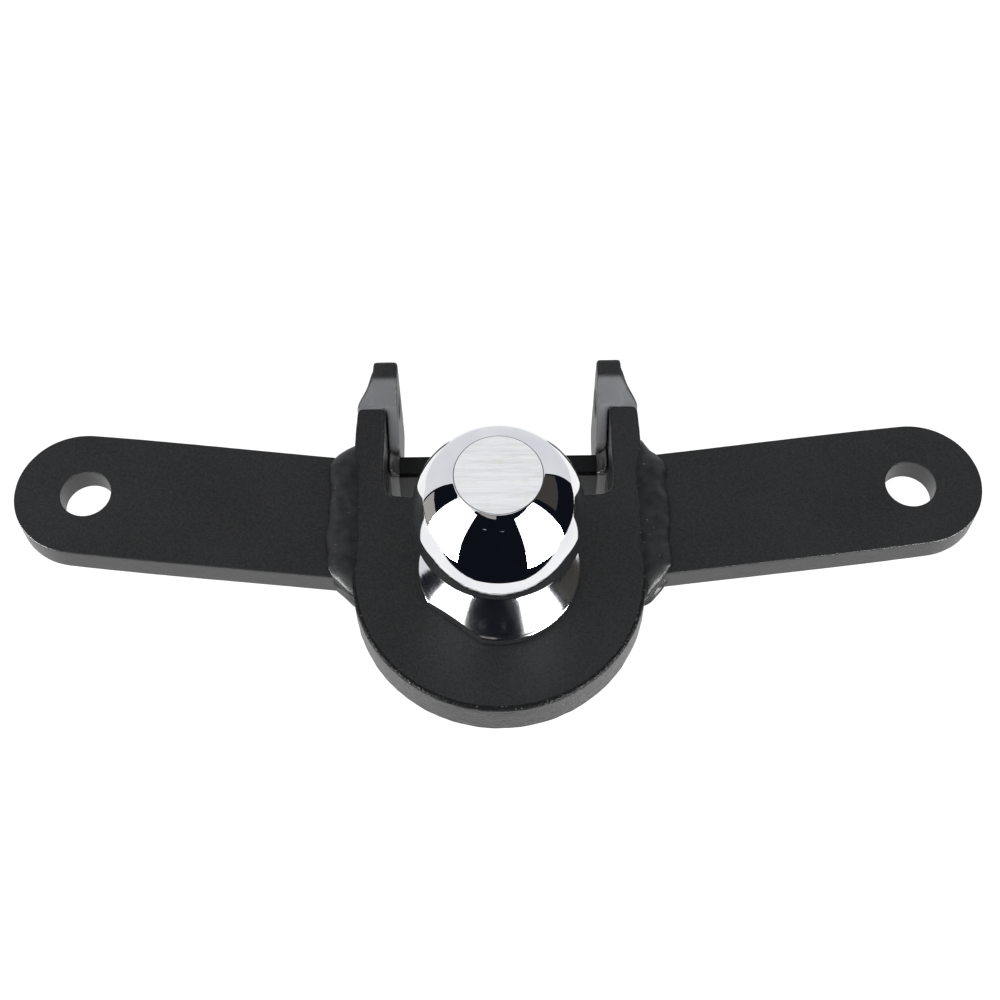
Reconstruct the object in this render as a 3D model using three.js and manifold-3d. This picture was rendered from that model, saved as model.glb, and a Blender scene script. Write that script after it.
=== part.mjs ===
// Trailer hitch with a tow ball: a welded plate bracket with two bolt-on arms and a rear
// clevis, and a one-piece chrome ball held under the plate by a lock washer and a hex nut.
//
// Millimetres, +Z up, +X to the right, +Y towards the vehicle. The origin is the middle of
// the clevis pin line, which lies on the middle plane of the tongue plate and of the arms.

import * as THREE from 'three';
import { ConvexGeometry } from 'three/addons/geometries/ConvexGeometry.js';
import { mergeVertices } from 'three/addons/utils/BufferGeometryUtils.js';
import Module from 'manifold-3d';

const wasm = await Module();
wasm.setup();

// ---------------------------------------------------------------- driving dimensions

const GAP = 0.3; // clearance kept between touching pieces
const CUT_MARGIN = 1; // how far a cutter runs past the faces it cuts

// Tongue plate
const PLATE_T = 16; // thickness
const PLATE_HALF_W = 46; // also the radius of the half-round nose
const BALL_Y = -67; // the ball's axis, and the centre of the nose
const NOTCH_FRONT_Y = -39.5;
const NOTCH_HALF_W = 36.6;
const NOTCH_CORNER_R = 4.5;
const PRONG_END_Y = -6.8;
const PRONG_CORNER_R = 2;
const SHANK_BORE_R = 13.2;

// Arms
const ARM_T = 10;
const ARM_HALF_W = 21.5;
const ARM_SWEEP = THREE.MathUtils.degToRad(6.7); // the arms lean back by this angle
const ARM_HOLE_X = 132.6;
const ARM_HOLE_Y = -35.7;
const ARM_HOLE_R = 8.1;
const ARM_END_OFFSET = 1.4; // from the hole's centre to the centre of the round end

// Clevis ears and the bar between them
const EAR_INNER_X = 32.8;
const EAR_OUTER_X = 40.6;
const EAR_TOP_Z = 14;
const EAR_BOTTOM_Z = -34;
const EAR_BACK_Y = 7.8;
const EAR_CAP_FRONT_Y = 0.7;
const EAR_LEDGE_Y = -13.5; // the sloped front edge ends here, above the ledge
const EAR_LEDGE_TOP_Z = -4.5;
const EAR_FRONT_Y = -21.2;
const EAR_RIB_FRONT_Y = -37.5;
const EAR_EDGE_R = 3;
const EAR_CAP_R = 0.6;
const PIN_HOLE_R = 5.2;
const BAR_TOP_Z = -12;
const BAR_BACK_Y = -13.3;

// Weld beads
const ARM_WELD_LEG = 8; // along the arm, from the plate's side
const FRONT_WELD_LEG = 4.5; // along the plate's side, from the arm's front face
const REAR_WELD_LEG = 5; // along the plate's side, from the arm's rear face
const CORNER_WELD_SETBACK = 1; // the corner beads stop this far inside the plate's faces
const EAR_WELD_LEG = 8;
const EAR_WELD_LAND = 1.5; // width of the bead where it runs out
const EAR_WELD_TOP_Z = 12;
const BAR_WELD_LEG = 3;
const BAR_WELD_H = 5;
const WELD_CREST = 0.55; // where along a leg the bead is fullest
const WELD_CROWN = 0.4; // how far the fullest point is pulled outwards

// Tow ball
const BALL_R = 25.4;
const BALL_CENTRE_Z = 47.2;
const BALL_FLAT_R = 12.6;
const NECK_R = 14;
const FLANGE_R = 25;
const FLANGE_RIM_H = 3;
const FLANGE_EDGE = 0.6; // bevel between the rim and the cone
const FLANGE_SWEEP_R = 15.5; // control point of the hollow cone under the neck
const FLANGE_SWEEP_H = 6.5;
const FLANGE_TOP_Z = 24;
const WRENCH_FLAT = 22.7; // from the axis to each of the two flats
const WRENCH_FLAT_ANGLE = THREE.MathUtils.degToRad(52.3);
const SHANK_R = 12.5;
const SHANK_END_Z = -46;
const SHANK_CHAMFER = 1.5;

// Lock washer and nut
const WASHER_T = 6;
const WASHER_INNER_R = 13.1;
const WASHER_OUTER_R = 20.6;
const WASHER_SPLIT = THREE.MathUtils.degToRad(9);
const NUT_ACROSS_FLATS = 38.1;
const NUT_H = 22;
const NUT_BORE_R = 12.95;
const NUT_FACE_INSET = 0.4; // the turned face is smaller than the flats by this much

const SMALL_ARC = 8; // segments in a corner
const HALF_ROUND = 40; // segments in half a turn
const FULL_ROUND = 48; // segments in a bore
const LATHE_ROUND = 72;

// ---------------------------------------------------------------- materials

const powderCoat = new THREE.MeshStandardMaterial({ color: 0x2d2f31, roughness: 0.6, metalness: 0.1 });
const coatedWeld = new THREE.MeshStandardMaterial({ color: 0x2b2c2e, roughness: 0.45, metalness: 0.1 });
const chrome = new THREE.MeshStandardMaterial({ color: 0xdfe2e4, roughness: 0.08, metalness: 1 });
const zincPlate = new THREE.MeshStandardMaterial({ color: 0xb4b6b4, roughness: 0.35, metalness: 1 });

// ---------------------------------------------------------------- helpers

/** A manifold solid made from a closed three.js geometry. */
function solid(geometry) {
  const bare = geometry.index ? geometry.toNonIndexed() : geometry.clone();
  bare.deleteAttribute('normal');
  bare.deleteAttribute('uv');
  const merged = mergeVertices(bare, 1e-4);
  return new wasm.Manifold(new wasm.Mesh({
    numProp: 3,
    vertProperties: new Float32Array(merged.attributes.position.array),
    triVerts: new Uint32Array(merged.index.array),
  }));
}

/** The three.js geometry of a manifold solid. */
function geometryOf(manifold) {
  const mesh = manifold.getMesh();
  const geometry = new THREE.BufferGeometry();
  geometry.setAttribute('position', new THREE.BufferAttribute(mesh.vertProperties, 3));
  geometry.setIndex(new THREE.BufferAttribute(mesh.triVerts, 1));
  geometry.computeVertexNormals();
  return geometry;
}

/** Adds one named sub-part to a group. */
function addPart(group, name, geometry, material) {
  const mesh = new THREE.Mesh(geometry, material);
  mesh.name = name;
  group.add(mesh);
}

/** Points along an arc, both ends included. */
function arc(cx, cy, radius, from, to, segments) {
  const points = [];
  for (let i = 0; i <= segments; i += 1) {
    const angle = from + ((to - from) * i) / segments;
    points.push(new THREE.Vector2(cx + radius * Math.cos(angle), cy + radius * Math.sin(angle)));
  }
  return points;
}

/** A closed outline with its corners rounded: each corner is [x, y, radius]. */
function roundedOutline(corners) {
  const points = [];
  corners.forEach(([x, y, radius], i) => {
    const corner = new THREE.Vector2(x, y);
    if (!radius) {
      points.push(corner);
      return;
    }
    const before = corners[(i + corners.length - 1) % corners.length];
    const after = corners[(i + 1) % corners.length];
    const toBefore = new THREE.Vector2(before[0] - x, before[1] - y).normalize();
    const toAfter = new THREE.Vector2(after[0] - x, after[1] - y).normalize();
    const halfAngle = Math.acos(THREE.MathUtils.clamp(toBefore.dot(toAfter), -1, 1)) / 2;
    const reach = radius / Math.tan(halfAngle);
    const start = corner.clone().addScaledVector(toBefore, reach);
    const end = corner.clone().addScaledVector(toAfter, reach);
    const centre = toBefore.clone().add(toAfter).normalize();
    centre.multiplyScalar(radius / Math.sin(halfAngle)).add(corner);
    const from = Math.atan2(start.y - centre.y, start.x - centre.x);
    let turn = Math.atan2(end.y - centre.y, end.x - centre.x) - from;
    turn = Math.atan2(Math.sin(turn), Math.cos(turn));
    points.push(...arc(centre.x, centre.y, radius, from, from + turn, SMALL_ARC));
  });
  return points;
}

/** A flat outline, with optional holes, raised along +Z from z0 to z1. */
function slab(points, z0, z1, holes = []) {
  const outline = THREE.ShapeUtils.isClockWise(points) ? [...points].reverse() : points;
  const shape = new THREE.Shape(outline);
  holes.forEach((hole) => shape.holes.push(new THREE.Path(hole)));
  const geometry = new THREE.ExtrudeGeometry(shape, { depth: z1 - z0, bevelEnabled: false });
  return geometry.translate(0, 0, z0);
}

/** An outline in the YZ plane, raised along +X from x0 to x1. */
function slabAlongX(points, x0, x1, holes = []) {
  const basis = new THREE.Matrix4().makeBasis(
    new THREE.Vector3(0, 1, 0),
    new THREE.Vector3(0, 0, 1),
    new THREE.Vector3(1, 0, 0),
  );
  return slab(points, Math.min(x0, x1), Math.max(x0, x1), holes).applyMatrix4(basis);
}

/** An outline in the XZ plane, raised along +Y from y0 to y1. */
function slabAlongY(points, y0, y1) {
  const basis = new THREE.Matrix4().makeBasis(
    new THREE.Vector3(1, 0, 0),
    new THREE.Vector3(0, 0, 1),
    new THREE.Vector3(0, -1, 0),
  );
  return slab(points, -y1, -y0).applyMatrix4(basis);
}

/** A box between two corners. */
function block(low, high) {
  const size = high.map((value, i) => value - low[i]);
  const middle = high.map((value, i) => (value + low[i]) / 2);
  return new THREE.BoxGeometry(...size).translate(...middle);
}

/** A body turned about the Z axis from a profile of [radius, z] pairs. */
function turned(profile) {
  const points = profile.map(([radius, z]) => new THREE.Vector2(radius, z));
  const geometry = new THREE.LatheGeometry(points, LATHE_ROUND);
  return geometry.rotateX(Math.PI / 2);
}

// ---------------------------------------------------------------- tongue plate

/** The thick plate: half-round nose in front, shank bore, and a notch between two prongs. */
function tonguePlate() {
  const nose = arc(0, BALL_Y, PLATE_HALF_W, -Math.PI, 0, HALF_ROUND);
  const rear = roundedOutline([
    [PLATE_HALF_W, PRONG_END_Y, PRONG_CORNER_R],
    [NOTCH_HALF_W, PRONG_END_Y, PRONG_CORNER_R],
    [NOTCH_HALF_W, NOTCH_FRONT_Y, NOTCH_CORNER_R],
    [-NOTCH_HALF_W, NOTCH_FRONT_Y, NOTCH_CORNER_R],
    [-NOTCH_HALF_W, PRONG_END_Y, PRONG_CORNER_R],
    [-PLATE_HALF_W, PRONG_END_Y, PRONG_CORNER_R],
    [-PLATE_HALF_W, BALL_Y, 0],
    [PLATE_HALF_W, BALL_Y, 0],
  ]).slice(0, -2);
  const bore = arc(0, BALL_Y, SHANK_BORE_R, 0, 2 * Math.PI, FULL_ROUND).slice(0, -1);
  return slab([...nose, ...rear], -PLATE_T / 2, PLATE_T / 2, [bore]);
}

// ---------------------------------------------------------------- arms

/** The y of an arm's centre line at a distance x from the middle. */
function armCentreY(x) {
  return ARM_HOLE_Y + (x - ARM_HOLE_X) * Math.tan(ARM_SWEEP);
}

/** The y of an arm's long edge at x: edge is -1 for the front edge and 1 for the rear. */
function armEdgeY(x, edge) {
  return armCentreY(x) + (edge * ARM_HALF_W) / Math.cos(ARM_SWEEP);
}

/**
 * A flat bar with a half-round end and a bolt hole, cut square to the plate's side. Its inner
 * end is planed down a little under the beads, so that its flat faces stop short of them.
 */
function arm(side) {
  const innerX = PLATE_HALF_W + GAP;
  const endX = ARM_HOLE_X + ARM_END_OFFSET * Math.cos(ARM_SWEEP);
  const from = ARM_SWEEP - Math.PI / 2;
  const end = arc(endX, armCentreY(endX), ARM_HALF_W, from, from + Math.PI, HALF_ROUND);
  const outline = [
    new THREE.Vector2(innerX, armEdgeY(innerX, -1)),
    ...end,
    new THREE.Vector2(innerX, armEdgeY(innerX, 1)),
  ];
  const hole = arc(ARM_HOLE_X, ARM_HOLE_Y, ARM_HOLE_R, 0, 2 * Math.PI, FULL_ROUND).slice(0, -1);
  const mirrored = (point) => new THREE.Vector2(side * point.x, point.y);
  const bar = slab(outline.map(mirrored), -ARM_T / 2, ARM_T / 2, [hole.map(mirrored)]);
  const seatX = innerX + ARM_WELD_LEG + GAP;
  const seatZ = ARM_T / 2 - GAP;
  const planed = [1, -1].map((up) => slabAlongY([
    new THREE.Vector2(0, up * seatZ),
    new THREE.Vector2(side * seatX, up * seatZ),
    new THREE.Vector2(side * seatX, up * ARM_T),
    new THREE.Vector2(0, up * ARM_T),
  ], armEdgeY(0, -1), armEdgeY(seatX, 1) + CUT_MARGIN));
  return geometryOf(planed.reduce((body, cut) => body.subtract(solid(cut)), solid(bar)));
}

// ---------------------------------------------------------------- clevis

/** The bore for the clevis pin, which runs through the ear and the bead on its outer face. */
function pinBore(side) {
  const round = arc(0, 0, PIN_HOLE_R, 0, 2 * Math.PI, FULL_ROUND).slice(0, -1);
  const fromX = side * (EAR_INNER_X - CUT_MARGIN);
  return solid(slabAlongX(round, fromX, side * (PLATE_HALF_W + CUT_MARGIN)));
}

/** An upright ear: a shouldered plate that takes the prong's end and runs on below it. */
function ear(side) {
  const shoulderY = PRONG_END_Y + GAP;
  const shoulderZ = PLATE_T / 2 + GAP;
  const outline = roundedOutline([
    [EAR_CAP_FRONT_Y, EAR_TOP_Z, EAR_CAP_R],
    [shoulderY, shoulderZ, 0],
    [shoulderY, -shoulderZ, 0],
    [EAR_RIB_FRONT_Y, -shoulderZ, 0],
    [EAR_RIB_FRONT_Y, -shoulderZ - EAR_EDGE_R, 0],
    [EAR_FRONT_Y, EAR_BOTTOM_Z, EAR_EDGE_R],
    [EAR_BACK_Y, EAR_BOTTOM_Z, 2 * EAR_EDGE_R],
    [EAR_BACK_Y, EAR_TOP_Z, EAR_EDGE_R / 2],
  ]);
  const outer = solid(slabAlongX(outline, side * (NOTCH_HALF_W - GAP), side * EAR_OUTER_X));
  const prongRoom = solid(block(
    [side > 0 ? NOTCH_HALF_W - GAP : -PLATE_HALF_W, NOTCH_FRONT_Y, -shoulderZ],
    [side > 0 ? PLATE_HALF_W : GAP - NOTCH_HALF_W, shoulderY, EAR_TOP_Z],
  ));
  const innerOutline = roundedOutline([
    [EAR_CAP_FRONT_Y, EAR_TOP_Z, EAR_CAP_R],
    [shoulderY, shoulderZ, 0],
    [EAR_LEDGE_Y, EAR_LEDGE_TOP_Z, 0],
    [EAR_LEDGE_Y, BAR_TOP_Z, 0],
    [EAR_FRONT_Y, BAR_TOP_Z, 0],
    [EAR_FRONT_Y, EAR_BOTTOM_Z, 0],
    [EAR_BACK_Y, EAR_BOTTOM_Z, 2 * EAR_EDGE_R],
    [EAR_BACK_Y, EAR_TOP_Z, EAR_EDGE_R / 2],
  ]);
  const inner = solid(slabAlongX(innerOutline, side * EAR_INNER_X, side * (NOTCH_HALF_W - GAP)));
  return geometryOf(outer.subtract(prongRoom).add(inner).subtract(pinBore(side)));
}

/** The bar that joins the two ears below the notch. */
function crossBar() {
  const halfLength = EAR_INNER_X - GAP;
  return block([-halfLength, EAR_FRONT_Y, EAR_BOTTOM_Z], [halfLength, BAR_BACK_Y, BAR_TOP_Z]);
}

// ---------------------------------------------------------------- weld beads

/** A crowned bead along the arm's inner end: up is 1 on the arm's top and -1 underneath. */
function armFaceWeld(side, up) {
  const innerX = PLATE_HALF_W + GAP;
  const outerX = innerX + ARM_WELD_LEG;
  const seatZ = ARM_T / 2;
  const crestZ = PLATE_T / 2;
  const crown = new THREE.QuadraticBezierCurve(
    new THREE.Vector2(outerX, seatZ),
    new THREE.Vector2(innerX + WELD_CREST * ARM_WELD_LEG, crestZ + WELD_CROWN),
    new THREE.Vector2(innerX, crestZ),
  );
  const section = [new THREE.Vector2(innerX, seatZ), ...crown.getPoints(SMALL_ARC)];
  const frontY = armEdgeY(outerX, -1) + GAP;
  const rearY = armEdgeY(innerX, 1) - GAP;
  return slabAlongY(section.map((p) => new THREE.Vector2(side * p.x, up * p.y)), frontY, rearY);
}

/** An upright bead in the corner of the plate's side and the arm's front (-1) or rear (1) face. */
function armCornerWeld(side, edge, leg) {
  const innerX = PLATE_HALF_W + GAP;
  const outerX = innerX + ARM_WELD_LEG;
  const away = edge * 2 * GAP;
  const cornerY = armEdgeY(innerX, edge) + away;
  const crestX = innerX + WELD_CREST * leg;
  const crown = new THREE.QuadraticBezierCurve(
    new THREE.Vector2(outerX, armEdgeY(outerX, edge) + away),
    new THREE.Vector2(crestX, armEdgeY(crestX, edge) + away + edge * WELD_CREST * leg),
    new THREE.Vector2(innerX, cornerY + edge * leg),
  );
  const outline = [new THREE.Vector2(innerX, cornerY), ...crown.getPoints(SMALL_ARC)];
  const topZ = PLATE_T / 2 - CORNER_WELD_SETBACK;
  return slab(outline.map((p) => new THREE.Vector2(side * p.x, p.y)), -topZ, topZ);
}

/** The bead that closes the corner between the ear's outer face and the end of the prong. */
function earWeld(side) {
  const innerX = side * (EAR_OUTER_X + GAP);
  const outerX = side * PLATE_HALF_W;
  const frontY = PRONG_END_Y + GAP;
  const topZ = PLATE_T / 2;
  const corners = [-topZ, topZ].flatMap((z) => [
    new THREE.Vector3(innerX, frontY, z),
    new THREE.Vector3(outerX, frontY, z),
    new THREE.Vector3(outerX, frontY + EAR_WELD_LAND, z),
    new THREE.Vector3(innerX, frontY + EAR_WELD_LEG, z),
  ]);
  const peaks = [0, EAR_WELD_LAND].map((along) => (
    new THREE.Vector3(innerX, EAR_CAP_FRONT_Y + along, EAR_WELD_TOP_Z)
  ));
  const bead = new ConvexGeometry([...corners, ...peaks]);
  return geometryOf(solid(bead).subtract(pinBore(side)));
}

/** The small bead on the ledge beside the cross bar, against the prong's inner wall. */
function barWeld(side) {
  const wallX = NOTCH_HALF_W - 2 * GAP;
  const baseZ = BAR_TOP_Z + GAP;
  const section = [
    new THREE.Vector2(side * wallX, baseZ),
    new THREE.Vector2(side * (wallX - BAR_WELD_LEG), baseZ),
    new THREE.Vector2(side * (wallX - WELD_CROWN * BAR_WELD_LEG), baseZ + WELD_CROWN * BAR_WELD_H),
    new THREE.Vector2(side * wallX, baseZ + BAR_WELD_H),
  ];
  return slabAlongY(section, EAR_FRONT_Y, EAR_LEDGE_Y - GAP);
}

// ---------------------------------------------------------------- tow ball

/** One forging: flat-topped ball, neck, flange with two wrench flats, and shank. */
function towBall() {
  const seatZ = PLATE_T / 2 + GAP;
  const rimZ = seatZ + FLANGE_RIM_H;
  const flatAngle = Math.acos(BALL_FLAT_R / BALL_R);
  const neckAngle = -Math.acos(NECK_R / BALL_R);
  const ball = arc(0, BALL_CENTRE_Z, BALL_R, neckAngle, flatAngle, HALF_ROUND);
  const cone = new THREE.QuadraticBezierCurve(
    new THREE.Vector2(FLANGE_R - FLANGE_EDGE, rimZ + FLANGE_EDGE),
    new THREE.Vector2(FLANGE_SWEEP_R, rimZ + FLANGE_SWEEP_H),
    new THREE.Vector2(NECK_R, FLANGE_TOP_Z),
  );
  const profile = [
    [0, SHANK_END_Z],
    [SHANK_R - SHANK_CHAMFER, SHANK_END_Z],
    [SHANK_R, SHANK_END_Z + SHANK_CHAMFER],
    [SHANK_R, seatZ],
    [FLANGE_R, seatZ],
    [FLANGE_R, rimZ],
    ...cone.getPoints(SMALL_ARC).map((p) => [p.x, p.y]),
    ...ball.map((p) => [p.x, p.y]),
    [0, BALL_CENTRE_Z + BALL_R * Math.sin(flatAngle)],
  ];
  let body = solid(turned(profile));
  [0, Math.PI].forEach((half) => {
    const slice = block(
      [WRENCH_FLAT, -FLANGE_R, seatZ - CUT_MARGIN],
      [FLANGE_R + CUT_MARGIN, FLANGE_R, FLANGE_TOP_Z],
    );
    slice.rotateZ(WRENCH_FLAT_ANGLE + half);
    body = body.subtract(solid(slice));
  });
  return geometryOf(body);
}

// ---------------------------------------------------------------- lock washer and nut

/** A split spring washer. */
function lockWasher() {
  const from = WASHER_SPLIT / 2;
  const to = 2 * Math.PI - WASHER_SPLIT / 2;
  const outer = arc(0, 0, WASHER_OUTER_R, from, to, FULL_ROUND);
  const inner = arc(0, 0, WASHER_INNER_R, to, from, FULL_ROUND);
  return slab([...outer, ...inner], -WASHER_T, 0);
}

/** A hex nut with its corners turned off at both ends. */
function hexNut() {
  const cornerR = NUT_ACROSS_FLATS / 2 / Math.cos(Math.PI / 6);
  const flatR = NUT_ACROSS_FLATS / 2 - NUT_FACE_INSET;
  const envelopeR = cornerR + GAP;
  const chamferH = (envelopeR - flatR) * Math.tan(Math.PI / 6);
  const hexagon = arc(0, 0, cornerR, 0, 2 * Math.PI, 6).slice(0, -1);
  const bore = arc(0, 0, NUT_BORE_R, 0, 2 * Math.PI, FULL_ROUND).slice(0, -1);
  const blank = solid(slab(hexagon, -NUT_H, 0, [bore]));
  const envelope = solid(turned([
    [0, -NUT_H],
    [flatR, -NUT_H],
    [envelopeR, -NUT_H + chamferH],
    [envelopeR, -chamferH],
    [flatR, 0],
    [0, 0],
  ]));
  return geometryOf(blank.intersect(envelope));
}

// ---------------------------------------------------------------- assembly

const bracket = new THREE.Group();
addPart(bracket, 'tongue_plate', tonguePlate(), powderCoat);
addPart(bracket, 'cross_bar', crossBar(), powderCoat);
[['left', -1], ['right', 1]].forEach(([word, side]) => {
  addPart(bracket, `${word}_arm`, arm(side), powderCoat);
  addPart(bracket, `${word}_ear`, ear(side), powderCoat);
  addPart(bracket, `${word}_arm_top_weld`, armFaceWeld(side, 1), coatedWeld);
  addPart(bracket, `${word}_arm_bottom_weld`, armFaceWeld(side, -1), coatedWeld);
  addPart(bracket, `${word}_arm_front_weld`, armCornerWeld(side, -1, FRONT_WELD_LEG), coatedWeld);
  addPart(bracket, `${word}_arm_rear_weld`, armCornerWeld(side, 1, REAR_WELD_LEG), coatedWeld);
  addPart(bracket, `${word}_ear_weld`, earWeld(side), coatedWeld);
  addPart(bracket, `${word}_bar_weld`, barWeld(side), coatedWeld);
});

const ballStack = new THREE.Group();
ballStack.position.set(0, BALL_Y, 0);
addPart(ballStack, 'tow_ball', towBall(), chrome);

const washerGroup = new THREE.Group();
washerGroup.position.set(0, 0, -PLATE_T / 2 - GAP);
addPart(washerGroup, 'lock_washer', lockWasher(), zincPlate);

const nutGroup = new THREE.Group();
nutGroup.position.set(0, 0, -WASHER_T - GAP);
addPart(nutGroup, 'hex_nut', hexNut(), zincPlate);

washerGroup.add(nutGroup);
ballStack.add(washerGroup);

const hitch = new THREE.Group();
hitch.add(bracket, ballStack);

export default hitch;
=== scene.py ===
"""Looks for a trailer hitch with a tow ball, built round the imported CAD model.

Metres, +Z up, +Y towards the vehicle. Steel pieces are remade from their CAD nodes with worked
edges, the weld beads are swept as real ripples and lumps, and the ball, nut and washer get
their own finishes.
"""

import math

import bmesh
import bpy
from mathutils import Matrix, Vector, noise


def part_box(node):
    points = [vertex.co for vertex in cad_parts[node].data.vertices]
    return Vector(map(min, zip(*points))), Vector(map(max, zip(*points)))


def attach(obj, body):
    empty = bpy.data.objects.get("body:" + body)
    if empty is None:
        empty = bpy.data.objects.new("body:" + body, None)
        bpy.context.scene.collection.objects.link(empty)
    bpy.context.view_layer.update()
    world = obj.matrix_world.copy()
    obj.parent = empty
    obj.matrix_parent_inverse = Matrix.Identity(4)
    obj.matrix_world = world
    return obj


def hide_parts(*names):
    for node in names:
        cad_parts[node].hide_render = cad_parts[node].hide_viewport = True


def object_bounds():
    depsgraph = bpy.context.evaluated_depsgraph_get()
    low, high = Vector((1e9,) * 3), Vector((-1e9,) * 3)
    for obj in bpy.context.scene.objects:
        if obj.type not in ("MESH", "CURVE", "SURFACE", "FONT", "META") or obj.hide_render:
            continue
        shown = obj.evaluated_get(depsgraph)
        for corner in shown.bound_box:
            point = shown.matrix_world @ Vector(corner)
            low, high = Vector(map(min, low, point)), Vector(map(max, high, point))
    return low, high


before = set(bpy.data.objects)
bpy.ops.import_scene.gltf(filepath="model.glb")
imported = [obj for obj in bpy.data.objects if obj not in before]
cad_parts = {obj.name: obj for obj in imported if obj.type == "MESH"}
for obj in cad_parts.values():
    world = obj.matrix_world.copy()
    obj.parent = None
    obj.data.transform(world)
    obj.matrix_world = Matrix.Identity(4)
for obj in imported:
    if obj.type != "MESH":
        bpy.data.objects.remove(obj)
cad_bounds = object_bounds()

MM = 0.001
SIDES = (("left", -1), ("right", 1))

plate_low, plate_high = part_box("tongue_plate")
ball_low, ball_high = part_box("tow_ball")
BALL_AXIS = Vector(((ball_low.x + ball_high.x) / 2, (ball_low.y + ball_high.y) / 2, 0))
BALL_R = 25.4 * MM
BALL_CENTRE = BALL_AXIS + Vector((0, 0, 47.2 * MM))


# ------------------------------------------------------------------ camera, floor and light

CAMERA_AT = Vector((-0.4, -300.9, 482.2)) * MM
CAMERA_PITCH = math.radians(61.33)  # below the horizon
CAMERA_YAW = math.radians(0.4)
CAMERA_ROLL = math.radians(-0.32)
CAMERA_LENS = 61.19
CAMERA_SHIFT_X = -0.003
TABLE_Z = cad_bounds[0].z - 2 * MM
NUT_TRAVEL = 29.5 * MM  # how far the nut and washer run down the shank, and a little more
FLOOR_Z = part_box("hex_nut")[0].z - NUT_TRAVEL - 2 * MM  # clear of the nut when it is run down
FLOOR_HALF_W = 4.0


def make_camera():
    """The photograph's view: from in front and above, square to the hitch."""
    data = bpy.data.cameras.new("camera")
    data.lens = CAMERA_LENS
    data.shift_x = CAMERA_SHIFT_X
    camera = bpy.data.objects.new("camera", data)
    bpy.context.scene.collection.objects.link(camera)
    level = Vector((math.sin(CAMERA_YAW), math.cos(CAMERA_YAW), 0))
    forward = level * math.cos(CAMERA_PITCH) - Vector((0, 0, math.sin(CAMERA_PITCH)))
    right = Vector((math.cos(CAMERA_YAW), -math.sin(CAMERA_YAW), 0))
    up = right.cross(forward)
    turn = Matrix.Rotation(-CAMERA_ROLL, 3, forward)
    axes = Matrix((turn @ right, turn @ up, -forward)).transposed()
    camera.matrix_world = Matrix.Translation(CAMERA_AT) @ axes.to_4x4()
    bpy.context.scene.camera = camera


def direction(azimuth, elevation):
    """A unit vector: azimuth 0 points to the front of the hitch and 90 to its right."""
    a, e = math.radians(azimuth), math.radians(elevation)
    return Vector((math.sin(a) * math.cos(e), -math.cos(a) * math.cos(e), math.sin(e)))


def emission(name, color, strength):
    """A plain light-emitting material for the stage."""
    material = bpy.data.materials.new(name)
    material.use_nodes = True
    tree = material.node_tree
    tree.nodes.clear()
    light = tree.nodes.new("ShaderNodeEmission")
    light.inputs["Color"].default_value = (*color, 1)
    light.inputs["Strength"].default_value = strength
    output = tree.nodes.new("ShaderNodeOutputMaterial")
    tree.links.new(light.outputs[0], output.inputs["Surface"])
    return material


def dim_after_one_reflection(material, radiance):
    """Keeps a softbox mirrored in the chrome from lighting the plate in hard patches."""
    tree = material.node_tree
    depth = tree.nodes.new("ShaderNodeLightPath").outputs["Ray Depth"]
    scale = tree.nodes.new("ShaderNodeMapRange")
    tree.links.new(depth, scale.inputs["Value"])
    scale.inputs["From Min"].default_value = 1.2
    scale.inputs["From Max"].default_value = 1.8
    scale.inputs["To Min"].default_value = radiance
    scale.inputs["To Max"].default_value = SOFTBOX_SECOND_RADIANCE
    light = next(node for node in tree.nodes if node.type == "EMISSION")
    tree.links.new(scale.outputs[0], light.inputs["Strength"])


def stage_mesh(name, vertices, faces, material):
    """A stage object that isn't part of the hitch."""
    mesh = bpy.data.meshes.new(name)
    mesh.from_pydata(vertices, [], faces)
    mesh.materials.append(material)
    obj = bpy.data.objects.new(name, mesh)
    bpy.context.scene.collection.objects.link(obj)
    return obj


def only_reflected(obj):
    """Shows a stage object in reflections, and nowhere else."""
    obj.visible_camera = False
    obj.visible_diffuse = False
    obj.visible_shadow = False
    obj.visible_transmission = False


PANEL_STEPS = 8
DISC_STEPS = 48


def panel(name, azimuths, elevations, radius, color, radiance):
    """A curved panel round the ball, from one azimuth and elevation to another."""
    vertices = []
    for i in range(PANEL_STEPS + 1):
        azimuth = azimuths[0] + (azimuths[1] - azimuths[0]) * i / PANEL_STEPS
        for j in range(PANEL_STEPS + 1):
            elevation = elevations[0] + (elevations[1] - elevations[0]) * j / PANEL_STEPS
            vertices.append(BALL_CENTRE + radius * direction(azimuth, elevation))
    faces = []
    for i in range(PANEL_STEPS):
        for j in range(PANEL_STEPS):
            a = i * (PANEL_STEPS + 1) + j
            faces.append((a, a + 1, a + PANEL_STEPS + 2, a + PANEL_STEPS + 1))
    return stage_mesh(name, vertices, faces, emission(name, color, radiance))


def disc(name, towards, half_angle, radius, color, radiance):
    """A round panel that faces the ball from a given direction."""
    across = towards.orthogonal().normalized()
    upward = towards.cross(across)
    rim = []
    for i in range(DISC_STEPS):
        a = 2 * math.pi * i / DISC_STEPS
        rim.append(BALL_CENTRE + radius * (
            towards * math.cos(half_angle)
            + (across * math.cos(a) + upward * math.sin(a)) * math.sin(half_angle)
        ))
    return stage_mesh(name, rim, [tuple(range(DISC_STEPS))], emission(name, color, radiance))


def rectangle(name, low, high, z, material):
    """A level rectangle between two corners."""
    corners = [
        (low[0], low[1], z), (high[0], low[1], z),
        (high[0], high[1], z), (low[0], high[1], z),
    ]
    return stage_mesh(name, corners, [(0, 1, 2, 3)], material)


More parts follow.
